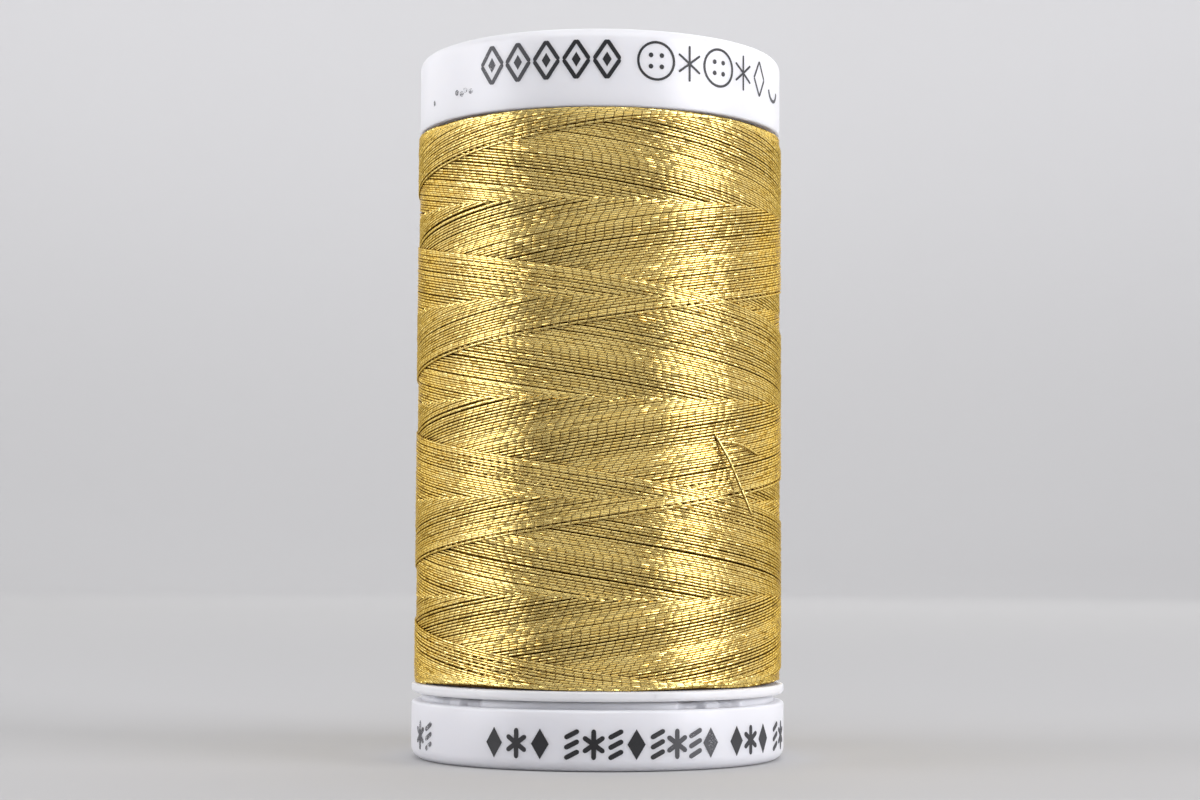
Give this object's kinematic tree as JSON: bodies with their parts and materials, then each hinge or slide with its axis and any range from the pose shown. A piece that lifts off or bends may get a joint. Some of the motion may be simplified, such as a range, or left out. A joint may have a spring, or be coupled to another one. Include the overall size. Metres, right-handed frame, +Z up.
{
  "type": "spool of thread",
  "caption": "White snap-base spool wound with gold metallic sewing thread, with a tall cap, and a base that lifts to open a thread-holding groove.",
  "frame": {"origin": "centre of the underside of the snap base, on the surface it stands on", "axes": "+Z up along the spool's axis, -Y towards the printed side that faces the viewer, +X to the viewer's right"},
  "size_m": [0.0344, 0.0344, 0.0647],
  "materials": {
    "spool_plastic": "smooth white moulded plastic with a soft gloss",
    "base_plastic": "smooth white moulded plastic with a soft gloss",
    "gold_thread": "gold foil-wrapped thread, bright metallic with fine dark seams",
    "print_ink": "thin black printed ink, worn grey in places"
  },
  "bodies": {
    "base": {"snap_base": "base_plastic"},
    "spool": {"spool_body": "spool_plastic", "thread_package": "gold_thread", "thread_tail": "gold_thread"}
  },
  "joints": [
    {"name": "base_snap", "type": "slide", "parent": "base", "child": "spool", "axis": [0, 0, 1], "range_m": [0, 0.003]}
  ]
}
